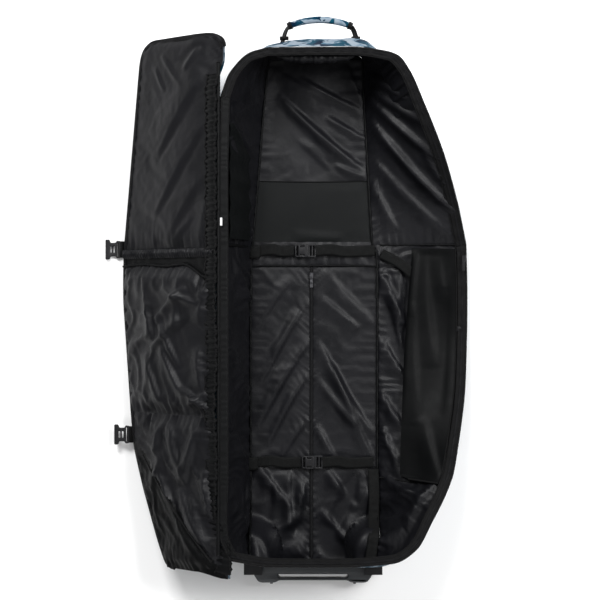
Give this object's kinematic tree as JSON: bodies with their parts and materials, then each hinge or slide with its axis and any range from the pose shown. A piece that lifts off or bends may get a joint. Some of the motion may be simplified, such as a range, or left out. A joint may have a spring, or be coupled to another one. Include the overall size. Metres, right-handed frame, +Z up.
{
  "type": "snowboard bag",
  "caption": "Wheeled board bag lying open on its back: hinged lid folded out to one side, fallen soft wall on the other, inner cinch straps, carry handle and foot grab handle.",
  "frame": {"origin": "middle of the underside of the centre skid rail, which is the face the bag rests on when it lies on its back", "axes": "+Z up out of the open bag, +Y from the wheels towards the carry handle, +X towards the fallen side wall"},
  "size_m": [1.0013, 1.5545, 0.2556],
  "materials": {
    "printed_fabric": "coated polyester with a pale blue and teal brush print",
    "lining": "smooth charcoal nylon lining with a satin sheen",
    "smooth_panel": "matte coated panel",
    "webbing": "black woven webbing and binding",
    "foam": "closed cell foam",
    "black_plastic": "moulded, fine texture",
    "grey_plastic": "moulded, satin",
    "wheel_rubber": "matte tyre",
    "metal": "dark plated"
  },
  "bodies": {
    "base": {"skid_rails": "black_plastic", "skid_rivets": "metal", "base_fabric": "printed_fabric", "base_board": "black_plastic", "base_foam": "foam", "head_lining": "lining", "smooth_panel": "smooth_panel", "zip_pocket_panels": "lining", "zip_pocket_tape": "webbing", "upper_cinch_strap": "webbing", "lower_cinch_strap": "webbing", "upper_buckle_socket": "black_plastic", "lower_buckle_socket": "black_plastic", "side_webbing": "webbing", "head_end_panel": "printed_fabric", "foot_end_panel": "printed_fabric", "head_gussets": "printed_fabric", "foot_gussets": "printed_fabric", "grab_handle": "grey_plastic", "grab_handle_screws": "metal", "left_wheel_housing": "black_plastic", "right_wheel_housing": "black_plastic", "wheel_axles": "metal", "carry_handle_anchors": "webbing"},
    "left_wall": {"left_wall_fabric": "printed_fabric", "left_upper_lining": "lining", "left_lower_lining": "lining", "left_wall_pocket": "lining", "hinge_piping": "webbing"},
    "lid": {"lid_fabric": "printed_fabric", "lid_foam": "foam", "lid_upper_lining": "lining", "lid_middle_lining": "lining", "lid_lower_lining": "lining", "lid_zip_tape": "webbing", "lid_binding": "webbing", "lid_webbing": "webbing"},
    "upper_side_buckle": {"upper_side_buckle": "black_plastic"},
    "lower_side_buckle": {"lower_side_buckle": "black_plastic"},
    "right_wall": {"right_wall_fabric": "printed_fabric", "right_upper_lining": "lining", "right_lower_lining": "lining", "right_wall_pocket": "lining", "rim_zip_tape": "webbing", "rim_zip_coil": "black_plastic", "upper_strap_tail": "webbing"},
    "main_slider": {"main_slider": "metal"},
    "main_pull": {"main_pull": "metal"},
    "pocket_slider": {"pocket_slider": "metal"},
    "pocket_pull": {"pocket_pull": "metal"},
    "upper_tongue": {"upper_buckle_tongue": "black_plastic"},
    "lower_tongue": {"lower_buckle_tongue": "black_plastic"},
    "left_wheel": {"left_tyre": "wheel_rubber", "left_hub": "grey_plastic"},
    "right_wheel": {"right_tyre": "wheel_rubber", "right_hub": "grey_plastic"},
    "carry_handle": {"carry_handle_legs": "webbing", "carry_handle_grip": "printed_fabric", "carry_handle_bindings": "webbing"}
  },
  "joints": [
    {"name": "left_wall_lean", "type": "hinge", "parent": "base", "child": "left_wall", "pos_m": [-0.185, 0, 0.012], "axis": [0, 1, 0], "range_deg": [0, 15.7]},
    {"name": "lid_hinge", "type": "hinge", "parent": "left_wall", "child": "lid", "pos_m": [-0.25192, 0, 0.25007], "axis": [0, 1, 0], "range_deg": [0, 205.6]},
    {"name": "right_wall_fold", "type": "hinge", "parent": "base", "child": "right_wall", "pos_m": [0.185, 0, 0.012], "axis": [0, -1, 0], "range_deg": [0, 84.7]},
    {"name": "carry_handle_swing", "type": "hinge", "parent": "base", "child": "carry_handle", "pos_m": [0.018, 0.743, 0.13], "axis": [1, 0, 0], "range_deg": [-45, 45]},
    {"name": "left_wheel_spin", "type": "hinge", "parent": "base", "child": "left_wheel", "pos_m": [-0.165, -0.69, 0.04], "axis": [1, 0, 0], "continuous": true},
    {"name": "right_wheel_spin", "type": "hinge", "parent": "base", "child": "right_wheel", "pos_m": [0.165, -0.69, 0.04], "axis": [1, 0, 0], "continuous": true},
    {"name": "upper_buckle_release", "type": "slide", "parent": "base", "child": "upper_tongue", "axis": [1, 0, 0], "range_m": [0, 0.028]},
    {"name": "lower_buckle_release", "type": "slide", "parent": "base", "child": "lower_tongue", "axis": [1, 0, 0], "range_m": [0, 0.028]},
    {"name": "pocket_zip_slide", "type": "slide", "parent": "base", "child": "pocket_slider", "axis": [0, -1, 0], "range_m": [0, 0.46]},
    {"name": "pocket_pull_flip", "type": "hinge", "parent": "pocket_slider", "child": "pocket_pull", "pos_m": [-0.004, 0.092, 0.0266], "axis": [-1, 0, 0], "range_deg": [0, 150]},
    {"name": "main_zip_slide", "type": "slide", "parent": "right_wall", "child": "main_slider", "axis": [0, -1, 0], "range_m": [0, 0.36]},
    {"name": "main_pull_flip", "type": "hinge", "parent": "main_slider", "child": "main_pull", "pos_m": [0.41551, 0.138, 0.06629], "axis": [-0.9839, 0, -0.1788], "range_deg": [0, 150]},
    {"name": "upper_side_buckle_swing", "type": "hinge", "parent": "lid", "child": "upper_side_buckle", "pos_m": [-0.5335, 0.165, 0.0065], "axis": [0, 1, 0], "range_deg": [0, 50]},
    {"name": "lower_side_buckle_swing", "type": "hinge", "parent": "lid", "child": "lower_side_buckle", "pos_m": [-0.50683, -0.35, 0.027], "axis": [0, 1, 0], "range_deg": [0, 50]}
  ]
}
